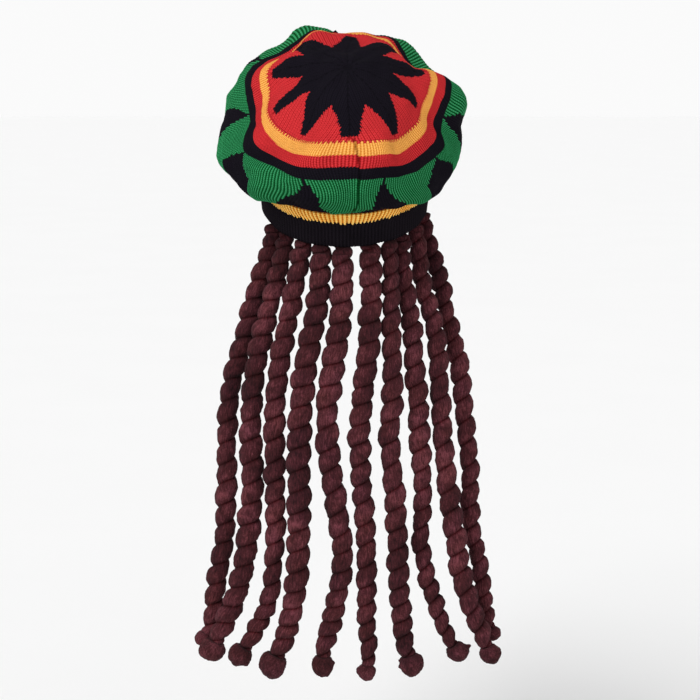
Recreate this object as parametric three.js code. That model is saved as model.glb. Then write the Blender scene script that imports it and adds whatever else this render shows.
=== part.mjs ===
// Rasta tam: a puffed knitted cap with a ribbed head band and ten hanging twisted
// knit locks, each ending in a tied ball knot. Millimetres, +Z up.
// The wearer faces +Y, so the locks hang at the back (-Y) and +X is the wearer's right.
// The origin is the centre of the band's lower edge, where the head goes in.
import * as THREE from 'three';

// ---------------------------------------------------------------- driving sizes
const BAND_HALF_WIDTH = 82;      // outside, across the head
const BAND_HALF_LENGTH = 97;     // outside, front to back
const BAND_WALL = 4;             // doubled rib
const BAND_HEIGHT = 36.5;        // black rib and gold stripe together
const BAND_BULGE = 0.8;          // how far the rib swells at mid height
const BAND_TILT = 21;            // degrees, the back sits lower than the front

const CROWN_HALF_WIDTH = 109.4;   // the puffed top's round form, before its folds
const CROWN_HALF_LENGTH = 114.4;
const CROWN_HALF_HEIGHT = 83;
const CROWN_CENTRE = { x: -0.5, y: -56.3, z: 79.4 };
const CROWN_TILT = 24.8;         // degrees, slouched towards the back
const CROWN_ROLL = -2.6;         // degrees about the front-to-back axis
const STAR_BACK = 21.6;          // the star's centre has slipped this far down the back,
const STAR_SIDE = 4.7;           // and this far to the wearer's right, degrees
const CROWN_WALL = 2.5;          // thickness of the knit
const TURN_POL = { back: 90, side: 112, front: 118 }; // where the knit turns under, degrees from the star's centre
const TUCK = { side: 0.35, swing: 0.5 };  // how far inwards the knit runs as it meets the band

const LOCK_GAP = 0.8;            // under the band's edge, at the lock's sewn top
const LOCK_SIDES = 10;
const LOCK_STEPS = 16;
const KNOT_GAP = 0.3;
const KNOT_FLAT = 0.72;          // share of the knot's radius where the lock meets it

const CROWN_AROUND = 60;
const CROWN_UP = 18;             // rows from the centre to where the knit turns under
const CROWN_UNDER = 5;           // rows from there to the band

// Folds and hollows of the slouched knit: az 0 is the back and grows towards the
// wearer's right, pol is counted from the star's centre (both degrees), spread is
// how wide it is (degrees) and lift how far it stands out (mm).
const FOLDS = [
  { az: -180, pol: 35, spread: 26, lift: -3.0 },
  { az: -60, pol: 35, spread: 26, lift: -5.8 },
  { az: 60, pol: 35, spread: 26, lift: -1.2 },
  { az: -90, pol: 65, spread: 26, lift: -11.1 },
  { az: -60, pol: 65, spread: 26, lift: -6.5 },
  { az: -30, pol: 65, spread: 26, lift: -4.6 },
  { az: 60, pol: 65, spread: 26, lift: -11.9 },
  { az: 90, pol: 65, spread: 26, lift: -7.3 },
  { az: 150, pol: 65, spread: 26, lift: -2.8 },
  { az: -150, pol: 90, spread: 26, lift: 4.9 },
  { az: -120, pol: 90, spread: 26, lift: 9.4 },
  { az: -60, pol: 90, spread: 26, lift: 4.0 },
  { az: 120, pol: 90, spread: 26, lift: 5.7 },
  { az: 150, pol: 90, spread: 26, lift: 5.9 },
  { az: -90, pol: 115, spread: 26, lift: 3.9 },
  { az: -60, pol: 115, spread: 26, lift: 2.1 },
  { az: -30, pol: 115, spread: 26, lift: -3.6 },
  { az: 0, pol: 115, spread: 26, lift: -7.4 },
  { az: 60, pol: 115, spread: 26, lift: 3.2 },
  { az: 90, pol: 115, spread: 26, lift: 1.4 },
  { az: -162, pol: 75, spread: 13, lift: 11.2 },
  { az: 150, pol: 77, spread: 13, lift: 3.3 },
  { az: 120, pol: 80, spread: 13, lift: -5.6 },
  { az: 102, pol: 82, spread: 13, lift: 12.2 },
  { az: 84, pol: 97, spread: 13, lift: 5.0 },
  { az: 72, pol: 100, spread: 13, lift: 4.1 },
  { az: 60, pol: 107, spread: 13, lift: 5.5 },
  { az: 48, pol: 110, spread: 13, lift: 1.9 },
  { az: -108, pol: 90, spread: 13, lift: 3.7 },
  { az: -84, pol: 97, spread: 13, lift: 7.5 },
  { az: -78, pol: 100, spread: 13, lift: 5.3 },
  { az: -66, pol: 105, spread: 13, lift: 2.7 },
  { az: -54, pol: 105, spread: 13, lift: 4.1 },
  { az: -60, pol: 75, spread: 13, lift: 2.8 },
  { az: 50, pol: 75, spread: 13, lift: 4.4 },
];

// Each lock hangs from rootAz on the band. x and y are its centre line's place at
// the drops below the root listed here, end is its last point above the knot and
// knotAt is the knot's centre.
const DROPS = [20, 60, 105, 150, 200, 250, 300, 350];
const LOCKS = [
  { no: '01', rootAz: -60.7, dia: 16, x: [-72, -86, -98, -110, -116, -117, -119, -126], y: [-44, -45, -48, -52, -57, -62, -66, -69], end: [-135, -70, -416], knotDia: 16, knotAt: [-140.9, -70, -426] },
  { no: '02', rootAz: -46.7, dia: 18, x: [-60, -70, -82, -90, -92, -91, -96, -105], y: [-61, -63, -66, -70, -75, -80, -84, -87], end: [-122, -88, -411], knotDia: 24, knotAt: [-130.8, -88, -432.3] },
  { no: '03', rootAz: -31.0, dia: 16.5, x: [-43, -52, -61, -67, -69, -68, -69, -74], y: [-76, -77, -79, -81, -84, -87, -90, -91], end: [-93, -92, -422], knotDia: 23, knotAt: [-102.9, -92, -436.3] },
  { no: '04', rootAz: -16.4, dia: 19, x: [-24, -27, -36, -42, -45, -45, -45, -50], y: [-85, -86, -89, -91, -95, -99, -102, -103], end: [-62, -104, -424], knotDia: 26, knotAt: [-70.5, -104, -442.3] },
  { no: '05', rootAz: -1.6, dia: 19.5, x: [-2, -4, -10, -17, -16, -8, -2, -9], y: [-89, -90, -92, -94, -98, -101, -104, -106], end: [-20, -106, -422], knotDia: 22, knotAt: [-21.7, -106, -442.2] },
  { no: '06', rootAz: 18.0, dia: 18, x: [25, 25, 22, 17, 14, 18, 21, 21], y: [-84, -85, -87, -90, -93, -95, -98, -100], end: [23, -100, -435], knotDia: 18, knotAt: [21.2, -100, -451.2] },
  { no: '07', rootAz: 32.0, dia: 16.5, x: [44, 45, 46, 46, 44, 49, 51, 54], y: [-75, -77, -80, -84, -89, -94, -98, -101], end: [59, -102, -423], knotDia: 24, knotAt: [65.2, -102, -442.4] },
  { no: '08', rootAz: 45.1, dia: 15, x: [56, 61, 67, 70, 73, 77, 75, 85], y: [-63, -64, -66, -70, -74, -78, -81, -83], end: [103, -84, -422], knotDia: 21, knotAt: [111.6, -84, -435.5] },
  { no: '09', rootAz: 61.0, dia: 16.5, x: [72, 77, 89, 93, 96, 101, 108, 117], y: [-43, -46, -51, -58, -67, -76, -84, -89], end: [135, -90, -416], knotDia: 21, knotAt: [143.3, -90, -435.7] },
  { no: '10', rootAz: 78.5, dia: 14.5, x: [81, 93, 103, 114, 119, 124, 125, 134], y: [-18, -21, -26, -33, -42, -51, -59, -64], end: [142, -66, -411], knotDia: 15, knotAt: [147.5, -66, -422] },
];

// ---------------------------------------------------------------- materials
const knit = (color, roughness) => new THREE.MeshStandardMaterial({ color, roughness, metalness: 0 });
const CROWN_COLOR = 0x1f7f4a;
const BAND_COLOR = 0x19171d;
const LOCK_COLOR = 0x5b3638;

// ---------------------------------------------------------------- frames
const rad = THREE.MathUtils.degToRad;
const tilted = (degrees) => new THREE.Matrix4().makeRotationX(rad(degrees));
// Turning about +X by a positive angle takes the back (-Y) down.
const bandFrame = tilted(BAND_TILT);
const crownFrame = new THREE.Matrix4()
  .makeTranslation(CROWN_CENTRE.x, CROWN_CENTRE.y, CROWN_CENTRE.z)
  .multiply(tilted(CROWN_TILT))
  .multiply(new THREE.Matrix4().makeRotationY(rad(CROWN_ROLL)));
const starFrame = tilted(STAR_BACK).multiply(new THREE.Matrix4().makeRotationY(rad(STAR_SIDE)));

const onBand = (az, inset, height) => new THREE.Vector3(
  (BAND_HALF_WIDTH - inset) * Math.sin(rad(az)),
  -(BAND_HALF_LENGTH - inset) * Math.cos(rad(az)),
  height,
).applyMatrix4(bandFrame);

const bandDown = new THREE.Vector3(0, 0, -1).transformDirection(bandFrame);

// ---------------------------------------------------------------- crown form
const toward = (az, pol) => new THREE.Vector3(
  Math.sin(rad(pol)) * Math.sin(rad(az)),
  -Math.sin(rad(pol)) * Math.cos(rad(az)),
  Math.cos(rad(pol)),
);

function foldLift(az, pol) {
  const d = toward(az, pol);
  return FOLDS.reduce((sum, f) => {
    const away = THREE.MathUtils.radToDeg(d.angleTo(toward(f.az, f.pol)));
    return sum + f.lift * Math.exp(-((away / f.spread) ** 2));
  }, 0);
}

function puffPoint(az, pol) {
  const d = toward(az, pol).transformDirection(starFrame);
  const round = 1 / Math.hypot(d.x / CROWN_HALF_WIDTH, d.y / CROWN_HALF_LENGTH, d.z / CROWN_HALF_HEIGHT);
  return d.multiplyScalar(round + foldLift(az, pol)).applyMatrix4(crownFrame);
}

function turnPol(az) {
  const c = Math.cos(rad(az));
  const end = c > 0 ? TURN_POL.back : TURN_POL.front;
  return THREE.MathUtils.lerp(TURN_POL.side, end, c * c);
}

// s runs 0..1 from the crown's centre to where the knit turns under, then 1..2 on to the band
function crownPoint(az, s) {
  const turn = turnPol(az);
  if (s <= 1) return puffPoint(az, turn * s);
  const t = s - 1;
  const from = puffPoint(az, turn);
  const before = puffPoint(az, turn - 2);
  const to = onBand(az, 0.6, BAND_HEIGHT + 0.5);
  const span = from.distanceTo(to);
  const leave = from.clone().sub(before).normalize().multiplyScalar(span);
  const inward = onBand(az, 10, BAND_HEIGHT).sub(onBand(az, 0, BAND_HEIGHT)).normalize();
  const tuck = TUCK.side + TUCK.swing * Math.cos(rad(az));
  const reach = inward.multiplyScalar(tuck).addScaledVector(bandDown, 0.7).normalize().multiplyScalar(span);
  const h00 = 2 * t ** 3 - 3 * t ** 2 + 1;
  const h10 = t ** 3 - 2 * t ** 2 + t;
  const h01 = -2 * t ** 3 + 3 * t ** 2;
  const h11 = t ** 3 - t ** 2;
  return from.multiplyScalar(h00).addScaledVector(leave, h10).addScaledVector(to, h01).addScaledVector(reach, h11);
}

function crownGeometry() {
  const rows = [];
  for (let i = 1; i <= CROWN_UP; i += 1) rows.push(i / CROWN_UP);
  for (let i = 1; i <= CROWN_UNDER; i += 1) rows.push(1 + i / CROWN_UNDER);
  const az = (j) => -180 + (360 * j) / CROWN_AROUND;
  const outer = rows.map((s) => Array.from({ length: CROWN_AROUND }, (_, j) => crownPoint(az(j), s)));
  const pole = crownPoint(0, 0);
  const inner = rows.map((s, i) => outer[i].map((p, j) => {
    const around = outer[i][(j + 1) % CROWN_AROUND].clone().sub(outer[i][(j + CROWN_AROUND - 1) % CROWN_AROUND]);
    const above = i === 0 ? pole : outer[i - 1][j];
    const below = i === rows.length - 1 ? p : outer[i + 1][j];
    const normal = below.clone().sub(above).cross(around).normalize();
    if (i === rows.length - 1) return onBand(az(j), 0.6 + CROWN_WALL, BAND_HEIGHT + 0.5);
    return p.clone().addScaledVector(normal, -CROWN_WALL);
  }));
  const up = new THREE.Vector3(0, 0, 1).transformDirection(starFrame).transformDirection(crownFrame);
  const innerPole = pole.clone().addScaledVector(up, -CROWN_WALL);

  const positions = [];
  const index = [];
  const put = (p) => { positions.push(p.x, p.y, p.z); return positions.length / 3 - 1; };
  const outerIds = outer.map((ring) => ring.map(put));
  const innerIds = inner.map((ring) => ring.map(put));
  const poleId = put(pole);
  const innerPoleId = put(innerPole);
  const next = (j) => (j + 1) % CROWN_AROUND;
  for (let j = 0; j < CROWN_AROUND; j += 1) {
    index.push(poleId, outerIds[0][j], outerIds[0][next(j)]);
    index.push(innerPoleId, innerIds[0][next(j)], innerIds[0][j]);
    for (let i = 0; i + 1 < rows.length; i += 1) {
      const [a, b, c, d] = [outerIds[i][j], outerIds[i][next(j)], outerIds[i + 1][j], outerIds[i + 1][next(j)]];
      index.push(a, c, d, a, d, b);
      const [e, f, g, h] = [innerIds[i][j], innerIds[i][next(j)], innerIds[i + 1][j], innerIds[i + 1][next(j)]];
      index.push(e, h, g, e, f, h);
    }
    const last = rows.length - 1;
    const [a, b, c, d] = [outerIds[last][j], outerIds[last][next(j)], innerIds[last][j], innerIds[last][next(j)]];
    index.push(a, c, d, a, d, b);
  }
  const geometry = new THREE.BufferGeometry();
  geometry.setAttribute('position', new THREE.Float32BufferAttribute(positions, 3));
  geometry.setIndex(index);
  geometry.computeVertexNormals();
  return geometry;
}

// ---------------------------------------------------------------- head band
// The wall's section, from inside low round to inside high: out is measured from
// the inner face, up from the lower edge.
const BAND_SECTION = [
  { out: 0, up: 0 },
  { out: BAND_WALL, up: 0 },
  { out: BAND_WALL + BAND_BULGE, up: BAND_HEIGHT * 0.3 },
  { out: BAND_WALL + BAND_BULGE, up: BAND_HEIGHT * 0.6 },
  { out: BAND_WALL, up: BAND_HEIGHT },
  { out: 0, up: BAND_HEIGHT },
];

function bandGeometry() {
  const around = CROWN_AROUND;
  const positions = [];
  const index = [];
  for (let j = 0; j < around; j += 1) {
    const az = -180 + (360 * j) / around;
    BAND_SECTION.forEach(({ out, up }) => {
      const p = onBand(az, BAND_WALL - out, up);
      positions.push(p.x, p.y, p.z);
    });
  }
  const n = BAND_SECTION.length;
  for (let j = 0; j < around; j += 1) {
    const k = (j + 1) % around;
    for (let i = 0; i < n; i += 1) {
      const m = (i + 1) % n;
      index.push(j * n + i, k * n + i, k * n + m, j * n + i, k * n + m, j * n + m);
    }
  }
  const geometry = new THREE.BufferGeometry();
  geometry.setAttribute('position', new THREE.Float32BufferAttribute(positions, 3));
  geometry.setIndex(index);
  geometry.computeVertexNormals();
  return geometry;
}

// ---------------------------------------------------------------- locks and knots
function lockPath(lock) {
  const edge = onBand(lock.rootAz, BAND_WALL / 2, 0);
  const root = edge.clone().addScaledVector(bandDown, LOCK_GAP);
  const points = [root, edge.clone().addScaledVector(bandDown, LOCK_GAP + 6)];
  DROPS.forEach((drop, i) => points.push(new THREE.Vector3(lock.x[i], lock.y[i], edge.z - drop)));
  const end = new THREE.Vector3(...lock.end);
  const knot = new THREE.Vector3(...lock.knotAt);
  const away = end.clone().sub(knot).normalize();
  points.push(end, knot.addScaledVector(away, (lock.knotDia / 2) * KNOT_FLAT + KNOT_GAP));
  return new THREE.CatmullRomCurve3(points, false, 'centripetal');
}

function lockGeometry(lock) {
  const section = new THREE.Shape();
  for (let i = 0; i < LOCK_SIDES; i += 1) {
    const a = (2 * Math.PI * i) / LOCK_SIDES;
    const [x, y] = [Math.cos(a) * lock.dia / 2, Math.sin(a) * lock.dia / 2];
    if (i === 0) section.moveTo(x, y); else section.lineTo(x, y);
  }
  section.closePath();
  return new THREE.ExtrudeGeometry(section, { steps: LOCK_STEPS, bevelEnabled: false, extrudePath: lockPath(lock) });
}

// A tied ball: slightly lumpy, flat where the lock's end meets it.
function knotMesh(lock, material) {
  const r = lock.knotDia / 2;
  const back = lockPath(lock).getTangent(1).multiplyScalar(-1);
  const flat = r * KNOT_FLAT;
  const geometry = new THREE.IcosahedronGeometry(r, 2);
  const pos = geometry.getAttribute('position');
  const v = new THREE.Vector3();
  const seed = Number(lock.no);
  for (let i = 0; i < pos.count; i += 1) {
    v.fromBufferAttribute(pos, i);
    const n = v.clone().normalize();
    const lump = 1 + 0.035 * Math.sin(3 * n.x + 2 * n.z + seed) * Math.cos(3 * n.y - seed);
    v.multiplyScalar(lump);
    const up = v.dot(back);
    if (up > flat) v.addScaledVector(back, flat - up);
    pos.setXYZ(i, v.x, v.y, v.z);
  }
  geometry.computeVertexNormals();
  const mesh = new THREE.Mesh(geometry, material);
  mesh.name = `end_knot_${lock.no}`;
  mesh.position.set(...lock.knotAt);
  return mesh;
}

// ---------------------------------------------------------------- the cap
const tam = new THREE.Group();

const crown = new THREE.Mesh(crownGeometry(), knit(CROWN_COLOR, 0.95));
crown.name = 'crown';
tam.add(crown);

const headband = new THREE.Mesh(bandGeometry(), knit(BAND_COLOR, 0.95));
headband.name = 'headband';
tam.add(headband);

const locks = new THREE.Group();
LOCKS.forEach((lock) => {
  const tube = new THREE.Mesh(lockGeometry(lock), knit(LOCK_COLOR, 0.9));
  tube.name = `lock_${lock.no}`;
  locks.add(tube);
  locks.add(knotMesh(lock, knit(LOCK_COLOR, 0.9)));
});
tam.add(locks);

export default tam;
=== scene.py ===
import math

import bpy
import numpy as np
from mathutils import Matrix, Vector


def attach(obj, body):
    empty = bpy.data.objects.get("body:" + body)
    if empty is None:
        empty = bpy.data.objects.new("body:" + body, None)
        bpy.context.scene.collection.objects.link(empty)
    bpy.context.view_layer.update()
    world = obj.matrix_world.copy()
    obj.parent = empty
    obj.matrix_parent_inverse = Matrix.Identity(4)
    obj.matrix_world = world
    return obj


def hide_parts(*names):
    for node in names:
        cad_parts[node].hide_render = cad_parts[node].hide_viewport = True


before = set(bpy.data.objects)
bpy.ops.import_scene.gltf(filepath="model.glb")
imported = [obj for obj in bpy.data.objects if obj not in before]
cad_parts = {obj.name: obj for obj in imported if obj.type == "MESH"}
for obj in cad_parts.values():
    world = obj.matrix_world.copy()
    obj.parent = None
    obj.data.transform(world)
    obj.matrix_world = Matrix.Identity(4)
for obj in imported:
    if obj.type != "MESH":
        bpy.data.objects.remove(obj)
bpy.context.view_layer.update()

# ------------------------------------------------------------------ camera
scene = bpy.context.scene
TILT_DOWN = 8.0
cam_data = bpy.data.cameras.new("photo_camera")
cam_data.lens = 2000.0 / 700.0 * 36.0
cam_data.sensor_width = 36.0
cam_data.clip_end = 60.0
camera = bpy.data.objects.new("photo_camera", cam_data)
camera.location = (0.005, -2.0007, 0.1348)
camera.rotation_euler = (math.radians(90.0 - TILT_DOWN), 0.0, 0.0)
scene.collection.objects.link(camera)
scene.camera = camera

# ------------------------------------------------------------------ sizes, as in the CAD
BAND_HALF_WIDTH, BAND_HALF_LENGTH = 82.0, 97.0
BAND_WALL, BAND_HEIGHT, BAND_BULGE, BAND_TILT = 4.0, 36.5, 0.8, 21.0
BAND_FLARE = 3.0                # the gold stripe is pulled outwards by the crown
CROWN_HALF = (109.4, 114.4, 83.0)
CROWN_CENTRE = np.array([-0.5, -56.3, 79.4])
CROWN_TILT, CROWN_ROLL = 24.8, -2.6
STAR_BACK, STAR_SIDE = 21.6, 4.7
CROWN_WALL = 2.5
TURN_BACK, TURN_SIDE, TURN_FRONT = 90.0, 112.0, 118.0
TUCK_SIDE, TUCK_SWING = 0.35, 0.5
LOCK_GAP, KNOT_GAP, KNOT_FLAT = 0.8, 0.3, 0.72

# az, pol (degrees, from the star's centre), spread (degrees), lift (mm)
FOLDS = np.array([
    [-180, 35, 26, -3], [-60, 35, 26, -5.8], [60, 35, 26, -1.2], [-90, 65, 26, -11.1],
    [-60, 65, 26, -6.5], [-30, 65, 26, -4.6], [60, 65, 26, -11.9], [90, 65, 26, -7.3],
    [150, 65, 26, -2.8], [-150, 90, 26, 4.9], [-120, 90, 26, 9.4], [-60, 90, 26, 4],
    [120, 90, 26, 5.7], [150, 90, 26, 5.9], [-90, 115, 26, 3.9], [-60, 115, 26, 2.1],
    [-30, 115, 26, -3.6], [0, 115, 26, -7.4], [60, 115, 26, 3.2], [90, 115, 26, 1.4],
    [-162, 75, 13, 11.2], [150, 77, 13, 3.3], [120, 80, 13, -5.6], [102, 82, 13, 12.2],
    [84, 97, 13, 5], [72, 100, 13, 4.1], [60, 107, 13, 5.5], [48, 110, 13, 1.9],
    [-108, 90, 13, 3.7], [-84, 97, 13, 7.5], [-78, 100, 13, 5.3], [-66, 105, 13, 2.7],
    [-54, 105, 13, 4.1], [-60, 75, 13, 2.8], [50, 75, 13, 4.4],
])

# The smaller folds that the CAD form leaves out: az, pol, lift. All spread SMALL_SPREAD.
SMALL_SPREAD = 12.0
SMALL_FOLDS = np.array([
    [-180, 25, -2.9], [-120, 25, 1.5], [-60, 25, -1.4], [0, 25, 1.5], [60, 25, -1.4], [120, 25, -0.7],
    [-180, 42, -3.9], [-150, 42, -0.6], [-120, 42, 4.9], [-90, 42, -3.8], [-60, 42, -0.5], [-30, 42, -0.7],
    [0, 42, -0.5], [30, 42, 1], [60, 42, 0.3], [90, 42, -2.8], [120, 42, -0.6], [150, 42, 1.6],
    [-180, 56, 1.5], [-160, 56, 7.6], [-140, 56, -3.5], [-120, 56, 0.4], [-100, 56, -2.7], [-80, 56, 0.4],
    [-60, 56, 4.2], [-40, 56, -0.6], [-20, 56, 2.1], [0, 56, -4.2], [20, 56, 2.7], [40, 56, -5.3],
    [80, 56, -0.8], [100, 56, 1.1], [120, 56, -6.2], [140, 56, -0.7], [160, 56, -0.4], [-170, 68, -6.8],
    [-150, 68, -4.2], [-130, 68, -6.3], [-110, 68, 4.3], [-90, 68, -2.4], [-70, 68, 0.3], [-50, 68, -1.8],
    [-30, 68, 3.4], [-10, 68, -2.4], [10, 68, 0.2], [30, 68, 1], [50, 68, -4], [70, 68, -2.2],
    [90, 68, -0.5], [110, 68, 4.9], [130, 68, -10.6], [150, 68, 1.4], [170, 68, 4.3], [-126, 80, 5.5],
    [-108, 80, -6.5], [-90, 80, -2.4], [-54, 80, 2.2], [-36, 80, -1.5], [-18, 80, 4.5], [0, 80, 0.3],
    [18, 80, -0.4], [36, 80, 1.4], [54, 80, -2.4], [72, 80, 2.4], [90, 80, 0.7], [108, 80, -0.3],
    [126, 80, -6.5], [-99, 95, -0.7], [-81, 95, 0.9], [-63, 95, 0.9], [-45, 95, 2.5], [-27, 95, -0.4],
    [-9, 95, 0.4], [9, 95, -1.4], [27, 95, 0.6], [45, 95, 4.6], [63, 95, -0.7], [81, 95, 1],
    [99, 95, -4.4], [-178, 76, 0.6], [-165, 76, 3.1], [-152, 76, -1.1], [165, 76, -4.5], [-178, 86, -3.7],
    [-165, 86, 5.2], [-152, 86, 4.7], [152, 86, 4.2], [165, 86, 2.9], [-178, 97, -0.9], [-165, 97, 0.4],
    [-152, 97, -7.1], [152, 97, -0.7], [165, 97, 1.1], [-140, 96, 4.2], [-126, 96, -5.1], [-112, 96, 2.3],
    [112, 96, 13.6], [126, 96, 4.4], [140, 96, 3.9], [-140, 108, 14.4], [-126, 108, 12.3], [-112, 108, 2.8],
    [112, 108, -0.3], [126, 108, -3.4], [140, 108, -2.5], [-152, 108, 1.1], [152, 108, -0.5],
])

# Narrow creases: az, pol, spread, lift.
CREASES = np.array([
    [-131, 88, 5.0, -2.0],
])

# Where the knit has slipped round the form: u (degrees round the pattern), v (mm from
# the star's centre), and how far the knit there has moved, in degrees and in mm.
SLACK_SPREAD = 17.0
SLACK = np.array([
    [-180, 45, 0.3, 1.4], [-120, 45, 4.2, 0.8], [-60, 45, -3.4, -2.1], [0, 45, -0.6, 6.6], [60, 45, -1.1, 0.1],
    [120, 45, -0.8, -5.7], [-180, 72, -4.5, -3.2], [-144, 72, 2.7, 5.7], [-108, 72, -1.6, 0.5], [-72, 72, -1.1, -5.6],
    [-36, 72, 2.6, -2], [0, 72, 1.2, -5.7], [36, 72, -0.2, 0.4], [72, 72, 0.6, -2.5], [108, 72, -2.6, 4.6],
    [144, 72, -1.6, 0.7], [-180, 93, -0.1, -3.1], [-156, 93, 0.2, -1.6], [-132, 93, -0.4, 0.1], [-108, 93, 0.4, -1.2],
    [-84, 93, 3, 3.8], [-60, 93, 8.9, 2.6], [-36, 93, 4.7, 2.1], [-12, 93, -8.2, 3], [12, 93, 8.6, 0.4],
    [36, 93, -5.9, 2.9], [60, 93, 1.5, 0.3], [84, 93, -0.9, -2], [108, 93, 5.8, 2], [132, 93, -2, 3.9],
    [156, 93, -3.6, 2.2], [-180, 112, 2, 2.3], [-156, 112, -0.5, -8.7], [-132, 112, 2.5, -3.6], [-108, 112, 0.7, 2.3],
    [-84, 112, 5.9, -3.6], [-60, 112, -1.3, 0], [-36, 112, -4.3, 1.9], [-12, 112, -5, -3], [12, 112, 2.4, -0.8],
    [36, 112, -0.4, 1.9], [60, 112, 4.6, 5.6], [84, 112, -7.2, -0.7], [108, 112, 1, 1.7], [132, 112, -6.8, 5.3],
    [156, 112, -5.3, -6.1], [-132, 130, -0.6, -7.1], [-108, 130, -0.4, -1.9], [-84, 130, 2.3, -9.8], [-60, 130, -6.9, 3.7],
    [-36, 130, -8.6, -2.2], [-12, 130, 5.2, 3.1], [12, 130, -2.5, -0.2], [36, 130, -0.4, 1.8], [60, 130, 1.3, 2.5],
    [84, 130, -3.2, -6.7], [108, 130, -0.2, -9.1], [132, 130, -8, 3], [-84, 165, 0, -0.6], [-60, 165, 0.5, -0.4],
    [-36, 165, -13, -4.9], [-12, 165, -10.7, 4.9], [12, 165, 8.1, 9.5], [36, 165, 10.6, 5.1], [60, 165, -0.1, -0.2],
    [84, 165, 0.1, -0.8], [-174, 120, 0, 4.4], [-158, 120, -9, -7], [158, 120, -4.5, -9.2], [174, 120, 4, 3],
    [-174, 140, 0, 3.5], [-158, 140, -10, -2.9], [158, 140, -2.8, -8], [174, 140, 2, 2.6], [-140, 150, -3.8, -8.2],
    [140, 150, -2.3, -2], [-118, 158, -1.2, -1.5], [118, 158, -0.8, -0.4],
    [-14, 162, 8, 0], [12, 165, -5, 0], [-92, 148, -7, 0], [-44, 150, 3, 0], [-66, 150, -4, 0], [44, 150, -3, 0], [66, 150, 4, 0],
])

# ------------------------------------------------------------------ the pattern, in mm from the star's centre
RED_TIP, RED_STEP, RAY_END = 47.7, 6.6, 82.4
GOLD_FROM, GOLD_TO, RED_TO, BLACK_TO, PATTERN_END = 86.6, 98.9, 110.0, 121.0, 190.0
STAR_END = 86.0                 # wales run parallel inside each tenth of the star up to here
REPEATS = 10
STAR_WALES = 14                 # wales to a tenth at the star's edge
SIDE_WALES = 30                 # wales to a tenth below it
GREEN_HALF_TOP, GREEN_STEP = 14.5, 6.0
# The seam at the back: mm from the star's centre, degrees round the pattern
SEAM = ((86, 1.9), (99, 3.2), (110, 4.2), (120, 4.8), (140, 5.1), (150, 4.0), (162, 3.2), (190, 3.0))
STRETCH_FROM = 100.0


# ------------------------------------------------------------------ small helpers
def rot_x(deg):
    c, s = math.cos(math.radians(deg)), math.sin(math.radians(deg))
    return np.array([[1, 0, 0], [0, c, -s], [0, s, c]])


def rot_y(deg):
    c, s = math.cos(math.radians(deg)), math.sin(math.radians(deg))
    return np.array([[c, 0, s], [0, 1, 0], [-s, 0, c]])


def unit(v):
    return v / np.maximum(np.linalg.norm(v, axis=-1, keepdims=True), 1e-9)


def smooth(a, b, x):
    t = np.clip((x - a) / (b - a), 0, 1)
    return t * t * (3 - 2 * t)


class Ripple:
    """Smooth noise made of seeded plane waves, size in the units of the points given."""

    def __init__(self, seed, size, waves=14):
        r = np.random.default_rng(seed)
        self.k = unit(r.normal(size=(waves, 3))) * (2 * math.pi / size) * r.uniform(0.6, 1.5, (waves, 1))
        self.p = r.uniform(0, 2 * math.pi, waves)
        self.n = math.sqrt(waves / 2)

    def __call__(self, pts):
        return np.sin(np.asarray(pts) @ self.k.T + self.p).sum(-1) / self.n


BAND = rot_x(BAND_TILT)
CROWN = rot_x(CROWN_TILT) @ rot_y(CROWN_ROLL)
STAR = rot_x(STAR_BACK) @ rot_y(STAR_SIDE)
BAND_DOWN = BAND @ np.array([0.0, 0.0, -1.0])


def toward(az, pol):
    az, pol = np.radians(az), np.radians(pol)
    return np.stack([np.sin(pol) * np.sin(az), -np.sin(pol) * np.cos(az), np.cos(pol) + 0 * az], -1)


def bumps(d, centres, spread, lift):
    """Sum of round bumps at those directions."""
    ang = np.degrees(np.arccos(np.clip(d @ centres.T, -1, 1)))
    return np.exp(-((ang / spread) ** 2)) @ lift


FOLD_AT = toward(FOLDS[:, 0], FOLDS[:, 1])
SMALL_AT = toward(SMALL_FOLDS[:, 0], SMALL_FOLDS[:, 1])
CREASE_AT = toward(CREASES[:, 0], CREASES[:, 1])
SLACK_AT = toward(SLACK[:, 0], SLACK[:, 1] * 180.0 / 260.0)


def fold_lift(az, pol, fine):
    d = toward(az, pol)
    t = bumps(d, FOLD_AT, FOLDS[:, 2], FOLDS[:, 3])
    if fine:
        t = t + bumps(d, SMALL_AT, SMALL_SPREAD, SMALL_FOLDS[:, 2])
        t = t + bumps(d, CREASE_AT, CREASES[:, 2], CREASES[:, 3])
    return t


def puff(az, pol, fine=True):
    d = toward(az, pol) @ STAR.T
    r = 1 / np.sqrt((d[..., 0] / CROWN_HALF[0]) ** 2 + (d[..., 1] / CROWN_HALF[1]) ** 2 + (d[..., 2] / CROWN_HALF[2]) ** 2)
    return (d * (r + fold_lift(az, pol, fine))[..., None]) @ CROWN.T + CROWN_CENTRE


def turn_pol(az):
    c = np.cos(np.radians(az))
    return TURN_SIDE + (np.where(c > 0, TURN_BACK, TURN_FRONT) - TURN_SIDE) * c * c


def on_band(az, inset, height):
    a = np.radians(az)
    return np.stack([(BAND_HALF_WIDTH - inset) * np.sin(a), -(BAND_HALF_LENGTH - inset) * np.cos(a), height + 0 * a], -1) @ BAND.T


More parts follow.
